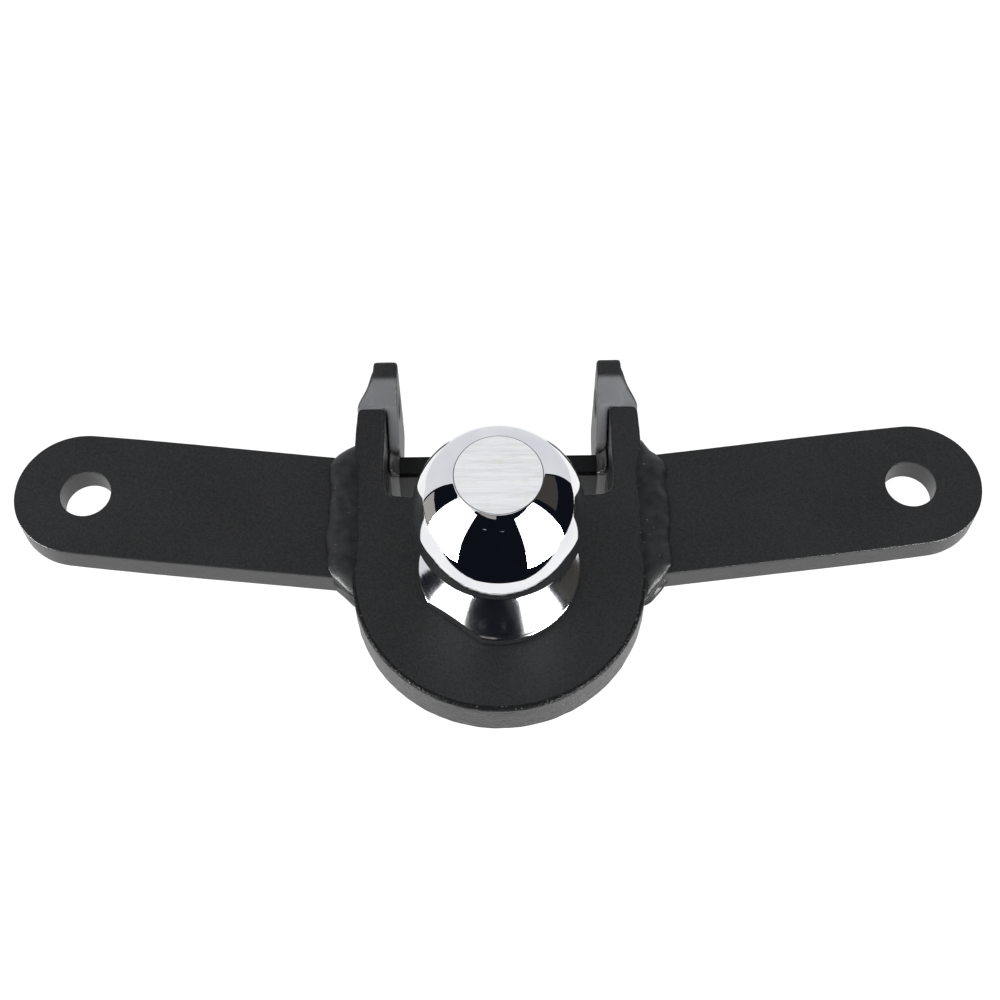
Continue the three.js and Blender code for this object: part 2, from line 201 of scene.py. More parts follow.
FLAG = 2.0  # radius of the dark flags
SOFTBOX = 1.6  # radius of the softboxes, in front of the flags
REFLECTED_TABLE_FRONT = -178 * MM
REFLECTED_TABLE_BACK = 100 * MM
REFLECTED_TABLE_HALF_W = 285 * MM
SOFTBOX_RADIANCE = 3.0  # above the level of the ball's centre: what the chrome mirrors
LOW_SOFTBOX_RADIANCE = 48.0  # below it: what lights the upright faces
SOFTBOX_SECOND_RADIANCE = 2.0  # either one, once it has been reflected
FLOOR_RADIANCE = 1.1
TABLE_RADIANCE = 1.05
WORLD_RADIANCE = 0.84
FLAG_RADIANCE = 0.01
OVERHEAD_RADIANCE = 0.15
OVERHEAD_TOWARDS = (180, 61)  # azimuth and elevation
OVERHEAD_HALF_ANGLE = math.radians(40)
WHITE = (1, 1, 1)
FLAG_BLUE = (0.5, 0.6, 1)


def make_stage():
    """A pale lit table, a white surround, softboxes on both sides and dark flags round them."""
    world = bpy.data.worlds.new("surround")
    bpy.context.scene.world = world
    world.use_nodes = True
    background = world.node_tree.nodes["Background"]
    background.inputs["Color"].default_value = (0.955, 0.965, 1, 1)
    background.inputs["Strength"].default_value = WORLD_RADIANCE

    floor = rectangle(
        "floor", (-FLOOR_HALF_W, -FLOOR_HALF_W), (FLOOR_HALF_W, FLOOR_HALF_W),
        FLOOR_Z, emission("floor", WHITE, FLOOR_RADIANCE),
    )
    floor.visible_glossy = False
    table = rectangle(
        "reflected_table",
        (-REFLECTED_TABLE_HALF_W, REFLECTED_TABLE_FRONT),
        (REFLECTED_TABLE_HALF_W, REFLECTED_TABLE_BACK),
        TABLE_Z,
        emission("reflected_table", WHITE, TABLE_RADIANCE),
    )
    only_reflected(table)

    for name, azimuths, elevations, color, radiance in (
        ("flag_low", (-112, 123), (-75, 36), FLAG_BLUE, FLAG_RADIANCE),
        ("flag_middle", (-52, 123), (36, 66), FLAG_BLUE, FLAG_RADIANCE),
        ("patch_right", (85, 121), (10, 60), (1, 0.95, 0.85), 0.055),
        ("patch_left", (-110, -88), (-20, 1), (1, 0.97, 0.9), 0.4),
        ("patch_lamp", (-50, -6), (52, 58), (1, 0.95, 0.9), 0.4),
    ):
        radius = FLAG if name.startswith("flag") else SOFTBOX
        only_reflected(panel(name, azimuths, elevations, radius, color, radiance))
    for name, azimuths, elevations, radiance in (
        ("softbox_left", (-89, -45), (0, 48), SOFTBOX_RADIANCE),
        ("softbox_right", (30, 77), (0, 48), SOFTBOX_RADIANCE),
        ("low_softbox_left", (-89, -45), (-25, 0), LOW_SOFTBOX_RADIANCE),
        ("low_softbox_right", (30, 77), (-26, 0), LOW_SOFTBOX_RADIANCE),
    ):
        softbox = panel(name, azimuths, elevations, SOFTBOX, WHITE, radiance)
        softbox.visible_camera = False
        softbox.visible_diffuse = False
        dim_after_one_reflection(softbox.data.materials[0], radiance)
    overhead = disc(
        "flag_overhead", direction(*OVERHEAD_TOWARDS), OVERHEAD_HALF_ANGLE, FLAG, WHITE,
        OVERHEAD_RADIANCE,
    )
    only_reflected(overhead)

    bpy.context.scene.view_settings.view_transform = "Standard"


# ------------------------------------------------------------------ materials


class Graph:
    """Builds one node material round a Principled shader."""

    def __init__(self, name):
        self.material = bpy.data.materials.new(name)
        self.material.use_nodes = True
        self.tree = self.material.node_tree
        self.shader = self.tree.nodes["Principled BSDF"]
        self.place = self.tree.nodes.new("ShaderNodeTexCoord").outputs["Object"]

    def put(self, node, inputs):
        """Sets a node's inputs by name or index: a socket is linked, and a value is set."""
        for key, value in inputs.items():
            if isinstance(value, bpy.types.NodeSocket):
                self.tree.links.new(value, node.inputs[key])
            else:
                node.inputs[key].default_value = value
        return node

    def add(self, kind, inputs=None, **settings):
        """A new node, with its settings and inputs."""
        node = self.tree.nodes.new(kind)
        for name, value in settings.items():
            setattr(node, name, value)
        return self.put(node, inputs or {})

    def noise(self, size, detail=2.0, roughness=0.5, stretch=None):
        """Noise with features of a given size in metres; stretch scales each axis."""
        where = self.place
        if stretch:
            where = self.add("ShaderNodeMapping", {"Vector": where, "Scale": stretch}).outputs[0]
        inputs = {"Vector": where, "Scale": 1 / size, "Detail": detail, "Roughness": roughness}
        return self.add("ShaderNodeTexNoise", inputs).outputs["Fac"]

    def ramp(self, value, low, high, to_low=0.0, to_high=1.0):
        """Maps low..high to to_low..to_high, and holds the ends."""
        inputs = {
            "Value": value, "From Min": low, "From Max": high, "To Min": to_low, "To Max": to_high,
        }
        return self.add("ShaderNodeMapRange", inputs).outputs["Result"]

    def math(self, operation, a, b):
        """One arithmetic node."""
        return self.add("ShaderNodeMath", {0: a, 1: b}, operation=operation).outputs[0]

    def blend(self, factor, a, b):
        """A colour between a and b."""
        return self.add("ShaderNodeMix", {0: factor, 6: a, 7: b}, data_type="RGBA").outputs[2]

    def attribute(self, name):
        """A value that the mesh code stored on the vertices."""
        return self.add("ShaderNodeAttribute", attribute_name=name).outputs["Fac"]

    def edges(self, radius):
        """Near 1 on outside edges rounder than the flat faces beside them, and 0 elsewhere."""
        soft = self.add("ShaderNodeBevel", {"Radius": radius}, samples=4).outputs[0]
        normal = self.add("ShaderNodeNewGeometry").outputs["Normal"]
        dot = self.add("ShaderNodeVectorMath", {0: soft, 1: normal}, operation="DOT_PRODUCT")
        return self.ramp(dot.outputs["Value"], 0.995, 0.93)

    def bump(self, height, distance, strength=1.0):
        """Relief from a height of 0 to 1, distance deep in metres."""
        inputs = {"Height": height, "Distance": distance, "Strength": strength}
        return self.add("ShaderNodeBump", inputs).outputs[0]


COAT_DARK = (0.019, 0.0195, 0.02, 1)
COAT_LIGHT = (0.031, 0.0317, 0.0324, 1)
COAT_RUBBED = (0.03, 0.031, 0.033, 1)
# painted shade: the dark colour of rims and of the cut faces in the slot
COAT_PAINTED_SHADE = (0.006, 0.0062, 0.0065, 1)
CHIP = (0.11, 0.11, 0.107, 1)
DUST = (0.06, 0.06, 0.06, 1)
# painted light: the lit colours of the ears' forward faces
PAINTED_LIT_DARK = (0.37, 0.372, 0.378, 1)
PAINTED_LIT_LIGHT = (0.43, 0.432, 0.438, 1)
BARE_SPECK = (0.14, 0.14, 0.13, 1)


def powder_coat(name, roughness):
    """Charcoal powder coat: fine grain over an orange-peel skin.

    roughness is the pair of roughnesses between which the grain varies. The mesh code marks
    some places with attributes: dull coat on rims and in narrow places, cut for the coarse
    grain of a cut slab, and one for painted light: a much lighter coat colour on the ears'
    forward faces, fading lower down as painted shade. A place both dull and cut gets painted shade,
    dark, with small chips.
    """
    g = Graph(name)
    grain = g.noise(0.6 * MM, 3, 0.65)
    peel = g.noise(2 * MM, 2)
    broad = g.noise(35 * MM, 3)
    edges = g.edges(0.9 * MM)
    dull, cut, painted_front_light = g.attribute("dull"), g.attribute("cut"), g.attribute("painted_front_light")
    tone = g.math("ADD", g.math("MULTIPLY", broad, 0.4), g.math("MULTIPLY", grain, 0.6))
    color = g.blend(g.ramp(tone, 0.35, 0.65), COAT_DARK, COAT_LIGHT)
    color = g.blend(g.math("MULTIPLY", edges, 0.5), color, COAT_RUBBED)
    # painted shade where a place is both dull and cut: rims and the slot's cut faces go dark
    painted_shade = g.math("MULTIPLY", dull, cut)
    color = g.blend(g.math("MULTIPLY", painted_shade, 0.6), color, COAT_PAINTED_SHADE)
    chips = g.math("MULTIPLY", g.ramp(g.noise(0.7 * MM, 1), 0.64, 0.72), painted_shade)
    color = g.blend(chips, color, CHIP)
    # painted light: forward faces of the ears much lighter, fading lower down as painted shade
    color = g.blend(painted_front_light, color, g.blend(g.ramp(broad, 0.4, 0.6), PAINTED_LIT_DARK, PAINTED_LIT_LIGHT))
    dust = g.ramp(g.noise(0.6 * MM, 1), 0.78, 0.84)
    color = g.blend(dust, color, DUST)
    height = g.math("ADD", g.math("MULTIPLY", grain, 0.7), g.math("MULTIPLY", peel, 0.3))
    pits = g.math("MULTIPLY", g.noise(0.75 * MM, 1), g.math("MULTIPLY", cut, 4))
    gloss = g.math("MULTIPLY", g.ramp(grain, 0.3, 0.7, 0.38, 0.6), g.ramp(dull, 0, 1, 1, 0.12))
    g.put(g.shader, {
        "Base Color": color,
        "Roughness": g.ramp(grain, 0.3, 0.7, *roughness),
        "Specular IOR Level": gloss,
        "Normal": g.bump(g.math("ADD", height, pits), 0.07 * MM),
    })
    return g.material


def coated_weld():
    """The same coat over weld metal: spatter, a few bare specks, and duller along the toes."""
    g = Graph("coated_weld")
    grain = g.noise(0.6 * MM, 2)
    lumps = g.noise(3 * MM, 3)
    color = g.blend(g.ramp(lumps, 0.35, 0.65), COAT_DARK, COAT_LIGHT)
    specks = g.ramp(g.noise(1.1 * MM, 1), 0.75, 0.8)
    color = g.blend(specks, color, BARE_SPECK)
    height = g.math("ADD", g.math("MULTIPLY", grain, 0.3), g.math("MULTIPLY", lumps, 0.7))
    g.put(g.shader, {
        "Base Color": color,
        "Roughness": g.ramp(lumps, 0.3, 0.7, 0.34, 0.46),
        "Specular IOR Level": g.ramp(g.attribute("dull"), 0, 1, 0.4, 0.05),
        "Normal": g.bump(height, 0.12 * MM),
    })
    return g.material


def chrome(name, roughness, wave):
    """Chrome with faint haze, polishing lines and a few wipe marks.

    roughness is the pair of roughnesses between which the haze varies, and wave is the depth
    of the polishing lines.
    """
    g = Graph(name)
    haze = g.noise(9 * MM, 3)
    lines = g.noise(1.2 * MM, 2, 0.6, (0.3, 0.3, 3))
    color = g.blend(g.ramp(haze, 0.35, 0.65), (0.77, 0.78, 0.81, 1), (0.84, 0.845, 0.855, 1))
    wipes = g.ramp(g.noise(4 * MM, 2, 0.5, (0.2, 1, 1)), 0.66, 0.75, 0, 0.02)
    g.put(g.shader, {
        "Base Color": color,
        "Metallic": 1.0,
        "Roughness": g.math("ADD", g.ramp(haze, 0.3, 0.7, *roughness), wipes),
        "Normal": g.bump(lines, wave),
    })
    return g.material


def milled_flat():
    """The milled top of the ball: side-to-side cutter lines and a slight yellow stain."""
    g = Graph("milled_flat")
    fine = g.noise(0.3 * MM, 3, 0.7, (0.04, 1, 1))
    coarse = g.noise(1.4 * MM, 1, 0.5, (0.05, 1, 1))
    lines = g.math("ADD", g.math("MULTIPLY", fine, 0.6), g.math("MULTIPLY", coarse, 0.4))
    stain = g.ramp(g.noise(5 * MM, 3), 0.58, 0.72)
    color = g.blend(g.ramp(lines, 0.4, 0.56), (0.84, 0.84, 0.83, 1), (1, 1, 0.99, 1))
    color = g.blend(g.math("MULTIPLY", stain, 0.35), color, (0.78, 0.76, 0.6, 1))
    g.put(g.shader, {
        "Base Color": color,
        "Specular IOR Level": 0.2,
        "Roughness": g.ramp(lines, 0.3, 0.7, 0.34, 0.24),
        "Normal": g.bump(lines, 0.03 * MM),
    })
    return g.material


def zinc():
    """Bright zinc plate: mottled, a little yellow and blue, rubbed bright along the edges."""
    g = Graph("zinc")
    mottle = g.noise(2.5 * MM, 3)
    tint = g.noise(14 * MM, 2)
    edges = g.edges(0.7 * MM)
    color = g.blend(g.ramp(tint, 0.35, 0.65), (0.42, 0.43, 0.45, 1), (0.5, 0.485, 0.42, 1))
    color = g.blend(g.ramp(mottle, 0.4, 0.7), color, (0.56, 0.57, 0.58, 1))
    color = g.blend(edges, color, (0.78, 0.78, 0.78, 1))
    rough = g.math("SUBTRACT", g.ramp(mottle, 0.3, 0.7, 0.3, 0.44), g.math("MULTIPLY", edges, 0.1))
    grain = g.noise(0.5 * MM)
    height = g.math("ADD", g.math("MULTIPLY", mottle, 0.5), g.math("MULTIPLY", grain, 0.5))
    g.put(g.shader, {
        "Base Color": color,
        "Metallic": 1.0,
        "Roughness": rough,
        "Normal": g.bump(height, 0.05 * MM),
    })
    return g.material


# ------------------------------------------------------------------ mesh helpers


def piece(name, bm, materials, body, slot, *nodes):
    """Makes a named piece from a bmesh, gives it its finish and hangs it on its body."""
    mesh = bpy.data.meshes.new(name)
    bmesh.ops.recalc_face_normals(bm, faces=bm.faces)
    bm.to_mesh(mesh)
    bm.free()
    for material in materials:
        mesh.materials.append(material)
    obj = bpy.data.objects.new(name, mesh)
    bpy.context.scene.collection.objects.link(obj)
    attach(obj, body)
    if nodes:
        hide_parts(*nodes)
    return obj


def cad_bmesh(node):
    """A CAD node's mesh as a fresh bmesh, with its triangles joined into flat faces."""
    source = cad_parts[node].data
    bm = bmesh.new()
    for vertex in source.vertices:
        bm.verts.new(vertex.co)
    bm.verts.ensure_lookup_table()
    for polygon in source.polygons:
        corners = [bm.verts[i] for i in polygon.vertices]
        if not bm.faces.get(corners):
            bm.faces.new(corners)
    bmesh.ops.remove_doubles(bm, verts=bm.verts, dist=0.002 * MM)
    bmesh.ops.dissolve_limit(bm, angle_limit=math.radians(1), verts=bm.verts, edges=bm.edges)
    return bm


SHARP = math.radians(30)


def round_edges(bm, width, segments, edges=None):
    """Rounds the given edges, or every sharp one, and shades the whole smoothly."""
    edges = edges or [e for e in bm.edges if e.is_manifold and e.calc_face_angle(0) > SHARP]
    bmesh.ops.bevel(
        bm, geom=edges, offset=width, offset_type="OFFSET", segments=segments,
        profile=0.5, affect="EDGES", clamp_overlap=True,
    )
    for face in bm.faces:
        face.smooth = True


def weigh_normals(obj):
    """Keeps large flat faces flat in smooth shading."""
    modifier = obj.modifiers.new("flat_faces", "WEIGHTED_NORMAL")
    modifier.weight = 100
    modifier.keep_sharp = True


def remade(name, node, material, body, slot, width, segments):
    """A CAD node remade with rounded edges."""
    bm = cad_bmesh(node)
    round_edges(bm, width, segments)
    obj = piece(name, bm, [material], body, slot, node)
    weigh_normals(obj)
    return obj


WEAR_LOSS = 0.12 * MM  # what smoothing takes off a face, and is put back


def softened(bm, cell, passes, swell):
    """Remakes a bmesh from small cells, worn round at every edge and a little uneven."""
    rough = bpy.data.objects.new("rough", bpy.data.meshes.new("rough"))
    bm.to_mesh(rough.data)
    bm.free()
    bpy.context.scene.collection.objects.link(rough)
    cells = rough.modifiers.new("cells", "REMESH")
    cells.mode = "VOXEL"
    cells.voxel_size = cell
    wear = rough.modifiers.new("wear", "SMOOTH")
    wear.iterations = passes
    evaluated = rough.evaluated_get(bpy.context.evaluated_depsgraph_get())
    bm = bmesh.new()
    bm.from_mesh(evaluated.to_mesh())
    evaluated.to_mesh_clear()
    bpy.data.objects.remove(rough)
    bm.normal_update()
    for vertex in bm.verts:
        vertex.co += vertex.normal * (WEAR_LOSS + swell * noise.noise(vertex.co / (4 * MM)))
    for face in bm.faces:
        face.smooth = True
    return bm


# ------------------------------------------------------------------ plates cut from bar and sheet


def top_loops(node):
    """The outline and the holes of a slab's upper face, each as an ordered list of 2-D points."""
    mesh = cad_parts[node].data
    key = [(round(v.co.x, 6), round(v.co.y, 6)) for v in mesh.vertices]
    follow = {}
    for polygon in mesh.polygons:
        if polygon.normal.z < 0.9:
            continue
        corners = [key[i] for i in polygon.vertices]
        for a, b in zip(corners, corners[1:] + corners[:1]):
            if follow.get(b, {}).pop(a, None) is None:
                follow.setdefault(a, {})[b] = True
    loops = []
    while any(follow.values()):
        start = next(k for k, v in follow.items() if v)
        loop, at = [], start
        while True:
            loop.append(Vector(at))
            onward = next(iter(follow[at]))
            follow[at].pop(onward)
            at = onward
            if at == start:
                break
        loops.append(loop)
    return loops


SMOOTH_TURN = math.radians(25)  # an outline turns by less than this at each point of an arc
EDGE_STEPS = 6
FLAT_SUPPORT = 0.4 * MM  # a row this far in from the rounded edge keeps the flat face flat
PIT_SIZE = 3 * MM
PIT_LEVEL = 0.6
INSET = 0.01 * MM  # keeps rounded outlines inside the CAD box


def fine_loop(points, step):
    """Resamples a loop to short steps along its arcs: a list of (point, outward normal)."""
    count = len(points)
    ways = [(points[(i + 1) % count] - points[i]).normalized() for i in range(count)]
    tangents = []
    for i in range(count):
        back, on = ways[i - 1], ways[i]
        tangents.append((back + on).normalized() if back.angle(on) < SMOOTH_TURN else None)
    out = []
    for i in range(count):
        a, b = points[i], points[(i + 1) % count]
        length = (b - a).length
        ta = (tangents[i] or ways[i]) * length
        tb = (tangents[(i + 1) % count] or ways[i]) * length
        steps = max(1, round(length / step))
        for k in range(steps):
            t = k / steps
            at = (
                a * (2 * t**3 - 3 * t**2 + 1) + ta * (t**3 - 2 * t**2 + t)
                + b * (3 * t**2 - 2 * t**3) + tb * (t**3 - t**2)
            )
            slope = (
                (b - a) * (6 * t - 6 * t**2) + ta * (3 * t**2 - 4 * t + 1) + tb * (3 * t**2 - 2 * t)
            )
            way = slope.normalized()
            stretch = 1.0
            if k == 0 and tangents[i] is None:
                way = (ways[i - 1] + ways[i]).normalized()
                stretch = 1 / max(0.5, way.dot(ways[i]))
            out.append((at, Vector((way.y, -way.x)) * stretch))
    return out


def slab_bmesh(node, step, edge_radius, pitting, coarseness, dull):
    """A slab remade from its CAD outline, with rounded and slightly uneven cut edges.

    edge_radius is a function of a 2-D point, pitting the depth to which the cut faces are
    pitted, coarseness how coarse the grain of the edges is, and dull how dull the coat is on
    the cut face at a 2-D point, both from 0 to 1. Where both are high the coat gets painted shade.
    """
    low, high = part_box(node)
    bm = bmesh.new()
    dull_layer = bm.verts.layers.float.new("dull")
    cut_layer = bm.verts.layers.float.new("cut")
    rims = {1: [], -1: []}
    for loop in top_loops(node):
        samples = fine_loop(loop, step)
        rows = []
        middle = max(2, round((high.z - low.z) / MM))
        for face, z_face in ((1, high.z), (-1, low.z)):
            for k in range(EDGE_STEPS + 2):
                angle = min(k / EDGE_STEPS, 1) * math.pi / 2
                more = FLAT_SUPPORT if k > EDGE_STEPS else 0
                rows.append((face, z_face, angle, more))
            if face == 1:
                rows.reverse()
                rows += [(0, share / middle, 0, 0) for share in range(1, middle)]
        rings = []
        for face, value, angle, more in rows:
            ring = []
            for at, outward in samples:
                radius = edge_radius(at)
                if face:
                    inset = radius * (1 - math.cos(angle)) + more
                    z = value - face * radius * (1 - math.sin(angle))
                else:
                    inset = 0
                    z = (high.z - radius) + value * (low.z - high.z + 2 * radius)
                if not more:
                    pit = noise.noise(Vector((at.x, at.y, z)) / PIT_SIZE) - PIT_LEVEL
                    inset += INSET - pitting * math.cos(angle) * min(0, pit)
                spot = at - outward * inset
                vertex = bm.verts.new((spot.x, spot.y, z))
                if not more:
                    # rims are duller by their edge radius, most on the nose; where the slab is cut,
                    # this also paints shade on them
                    vertex[dull_layer] = radius / NOSE_EDGE_R if face else dull(at)
                    vertex[cut_layer] = coarseness
                ring.append(vertex)
            rings.append(ring)
        count = len(samples)
        for upper, lower in zip(rings, rings[1:]):
            for i in range(count):
                j = (i + 1) % count
                bm.faces.new((upper[i], lower[i], lower[j], upper[j]))
        rims[1].append(rings[0])
        rims[-1].append(rings[-1])
    for face, loops in rims.items():
        edges = []
        for ring in loops:
            for i, vertex in enumerate(ring):
                edges.append(bm.edges.get((vertex, ring[(i + 1) % len(ring)])))
        bmesh.ops.triangle_fill(bm, use_beauty=True, edges=edges, normal=(0, 0, face))
    for face in bm.faces:
        face.smooth = True
    return bm


NOSE_EDGE_R = 1.2 * MM
PRONG_EDGE_R = 0.7 * MM
BORE_EDGE_R = 0.5 * MM
ARM_EDGE_R = 0.4 * MM
BORE_RIM_R = 20 * MM  # the plate's outline is the bore's within this of the ball's axis
NOSE_BACK = 12 * MM  # behind the ball's axis: the nose's edge radius has faded out here
NOSE_FADE = 20 * MM  # the length over which it fades
SLOT_HALF_W = 37.6 * MM
SLOT_FRONT = 30 * MM  # behind the ball's axis
# a duller coat and painted shade on the cut faces in the slot between the prongs
SLOT_DULL = 0.8


def plate_edge(at):
    """Grinding leaves the plate's edges rounder on the nose than on the prongs and in the bore."""
    from_axis = (at - BALL_AXIS.xy).length
    if from_axis < BORE_RIM_R:
        return BORE_EDGE_R
    share = min(1, max(0, (BALL_AXIS.y + NOSE_BACK - at.y) / NOSE_FADE))
    return PRONG_EDGE_R + (NOSE_EDGE_R - PRONG_EDGE_R) * share


def between_prongs(at):
    """How dull the plate's cut faces are: in the slot between its prongs they are duller and
    darkened with painted shade.
    """
    in_slot = abs(at.x) < SLOT_HALF_W and at.y > BALL_AXIS.y + SLOT_FRONT
    return SLOT_DULL if in_slot else 0.0


def make_plate(coat):
    """The thick tongue plate, torch cut, so that its sides are a little pitted."""
    bm = slab_bmesh(
        "tongue_plate", step=0.9 * MM, edge_radius=plate_edge, pitting=0.14 * MM,
        coarseness=1.0, dull=between_prongs,
    )
    piece("tongue_plate_body", bm, [coat], "bracket", "powder_coat", "tongue_plate")


def make_arms(coat):
    """The two flat-bar arms with their bolt holes."""
    for word, _ in SIDES:
        bm = slab_bmesh(
            f"{word}_arm", step=1.1 * MM, edge_radius=lambda at: ARM_EDGE_R, pitting=0.04 * MM,
            coarseness=0.15, dull=lambda at: 0.0,
        )
        piece(f"{word}_arm_bar", bm, [coat], "bracket", "powder_coat", f"{word}_arm")


# ------------------------------------------------------------------ clevis


EAR_CAP_BACK = 7.2 * MM  # how far the ear's front leans back from the plate's top to its cap
WEB_ROWS = 48
WEB_POINTS = 7  # steps along the weld's round back
WEB_LEG = 8 * MM
WEB_BELOW = 1.5 * MM  # how far the weld reaches under the plate
WEB_UNDER_CAP = 0.6 * MM
WEB_FORWARD = 0.9 * MM  # how far it stands forward below the plate's top
WEB_TOE = 0.8 * MM
WEB_ROOT_DEPTH = 2.5 * MM
WEB_LUMP = 4 * MM
PIN_HOLE_CLEAR = 6 * MM  # the weld keeps this far from the pin's axis
EAR_CELL = 0.42 * MM
EAR_PASSES = 18
EAR_UNEVEN = 0.05 * MM
EAR_RIM = (0.2, 0.97)  # how far a normal points sideways on the ears' worn rims
EAR_RIM_DULL = 0.5
EAR_LOW_Z = -7 * MM  # from here down the painted light on the ears' forward faces fades, as painted shade
EAR_LOW_FADE = 3 * MM
EAR_LOW_PAINTED_LIGHT = 0.25  # what is left of the painted light at the bottom
BAR_LET_IN = 0.5 * MM
BAR_EDGE_R = 1.2 * MM
BAR_DULL = 0.85


def add_ear_web(bm, word, side, seed):
    """Adds the weld that fills the corner behind the prong's end, flush with the ear's front."""
    low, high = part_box(f"{word}_ear_weld")
    _, ear_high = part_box(f"{word}_ear")
    inner_x, outer_x = sorted((abs(low.x), abs(high.x)))
    front_y, top_z = low.y, plate_high.z
    bottom_z, peak_z = -top_z - WEB_BELOW, ear_high.z - WEB_UNDER_CAP
    root_x = inner_x - WEB_ROOT_DEPTH
    rings = []
    for i in range(WEB_ROWS + 1):
        z = bottom_z + (peak_z - bottom_z) * i / WEB_ROWS
        climb = max(0, (z - top_z) / (ear_high.z - top_z))
        under = max(0, (-top_z - z) / WEB_BELOW)
        front = front_y + EAR_CAP_BACK * climb - (WEB_FORWARD if climb == 0 else 0)
        reach = max(0, 1 - 1.05 * climb) ** 1.15 * (1 - under**2)
        outer = inner_x + (outer_x - inner_x) * reach
        leg = WEB_LEG * (1 - 0.5 * climb) * (1 - 0.8 * under)
        if abs(z) < PIN_HOLE_CLEAR:
            leg = min(leg, -math.sqrt(PIN_HOLE_CLEAR**2 - z * z) - front)
        uneven = noise.noise(Vector((seed, 0, z / WEB_LUMP)))
        ring = [Vector((root_x, front)), Vector((outer, front)), Vector((outer, front + WEB_TOE))]
        start, end = ring[-1], Vector((inner_x - 0.3 * MM, front + leg))
        for k in range(1, WEB_POINTS):
            share = k / WEB_POINTS
            bulge = (0.5 + 0.6 * uneven) * math.sin(share * math.pi) * MM
            bulge *= min(1, leg / WEB_LUMP)
            ring.append(start.lerp(end, share) + Vector((0.7, 0.7)) * bulge)
        ring += [end, Vector((root_x, front + leg))]
        rings.append([bm.verts.new((side * at.x, at.y, z)) for at in ring])
    walls = []
    for lower, upper in zip(rings, rings[1:]):
        for j in range(len(lower)):
            k = (j + 1) % len(lower)
            walls.append(bm.faces.new((lower[j], lower[k], upper[k], upper[j])))
    walls += [bm.faces.new(rings[0]), bm.faces.new(rings[-1])]
    bmesh.ops.recalc_face_normals(bm, faces=walls)


def make_clevis(coat):
    """The two ears with the weld at each, worn round, and the bar let in between them."""
    for word, side in SIDES:
        _, ear_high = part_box(f"{word}_ear")
        bm = cad_bmesh(f"{word}_ear")
        add_ear_web(bm, word, side, 5 + side)
        bm = softened(bm, EAR_CELL, EAR_PASSES, EAR_UNEVEN)
        dull_layer = bm.verts.layers.float.new("dull")
        painted_front_light_layer = bm.verts.layers.float.new("painted_front_light")
        bm.normal_update()
        for vertex in bm.verts:
            on_rim = EAR_RIM[0] < abs(vertex.normal.x) < EAR_RIM[1]
            # painted light on forward-facing faces, fading into painted shade below EAR_LOW_Z
            painted_light_share = min(1, max(EAR_LOW_PAINTED_LIGHT, 1 + (vertex.co.z - EAR_LOW_Z) / EAR_LOW_FADE))
            vertex.co.y = min(vertex.co.y, ear_high.y)  # stays inside the CAD box
            vertex[dull_layer] = EAR_RIM_DULL if on_rim else 0.0
            vertex[painted_front_light_layer] = painted_light_share * max(0, -vertex.normal.y) ** 1.1
        nodes = (f"{word}_ear", f"{word}_ear_weld")
        piece(f"{word}_ear_plate", bm, [coat], "bracket", "powder_coat", *nodes)
    bm = cad_bmesh("cross_bar")
    long_edges = [e for e in bm.edges if abs(e.verts[0].co.x - e.verts[1].co.x) > 10 * MM]
    for vertex in bm.verts:
        vertex.co.x += math.copysign(BAR_LET_IN, vertex.co.x)
    round_edges(bm, BAR_EDGE_R, 4, long_edges)
    dull_layer = bm.verts.layers.float.new("dull")
    for vertex in bm.verts:
        vertex[dull_layer] = BAR_DULL
    weigh_normals(piece("cross_bar_block", bm, [coat], "bracket", "powder_coat", "cross_bar"))


# ------------------------------------------------------------------ weld beads


ARM_SWEEP = math.radians(6.7)
BEAD_STEPS = 260
BEAD_ROWS = 16
BEAD_LAP = 1.8 * MM  # how far the bead runs onto the plate's top
BEAD_TAPER = 5 * MM  # the length at each end of the bead over which it narrows
BEAD_STEP = 0.05 * MM  # how far it stands above the plate's top
BEAD_CROWN = 0.15 * MM  # how much rounder it is across the top than the smooth section
BEAD_FULLNESS = 1.0
BEAD_NARROWING = 0.28  # the share of its width that it loses at each end
RIPPLE_PITCH = 2.1 * MM
BROAD_WAVE, SHORT_WAVE = 8 * MM, 3.5 * MM  # lengths of the uneven places along it
LUMP_SIZE, KNOB_SIZE = 6.5 * MM, 2.6 * MM
BEAD_DEPTH = 7 * MM  # its section, as the lumps' noise sees it
TOE_BURIED, BACK_BURIED, ROOT_BURIED = 0.5 * MM, 0.6 * MM, 0.4 * MM
CORNER_R = 1.2 * MM


def rectangle_walk(share, half_w, half_h):
    """A point on a rounded rectangle and its outward normal, share being 0..1 round it."""
    straight = (2 * (half_w - CORNER_R), 2 * (half_h - CORNER_R))
    quarter = CORNER_R * math.pi / 2
    at = share * (2 * (straight[0] + straight[1]) + 4 * quarter)
    centre = Vector((half_w - CORNER_R, half_h - CORNER_R))
    start = Vector((centre.x, half_h))
    way, out = Vector((-1, 0)), Vector((0, 1))
    for side in range(4):
        length = straight[side % 2]
        if at <= length:
            return start + way * at, out
        at -= length
        start = start + way * length
        hub = start - out * CORNER_R
        if at <= quarter:
            turn = at / CORNER_R
            normal = out * math.cos(turn) + way * math.sin(turn)
            return hub + normal * CORNER_R, normal
        at -= quarter
        start = hub + way * CORNER_R
        way, out = Vector((-way.y, way.x)), Vector((-out.y, out.x))
    return start, out


def bead_section(v, toe, lap, leg, fullness):
    """A point on a bead's section, v from 0 at the toe on the arm to 1 on the plate.

    Returns the distance out along the arm and the rise above it. A fullness of 0 is a straight
    diagonal bead, 1 one with a round back, and more than 1 one with a flat back and steep sides.
    """
    out_power = 2 - 1.15 * fullness
    up_power = 2 - 1.1 * fullness
    along = (toe + lap) * math.cos(v * math.pi / 2) ** out_power - lap
    return along, leg * math.sin(v * math.pi / 2) ** up_power


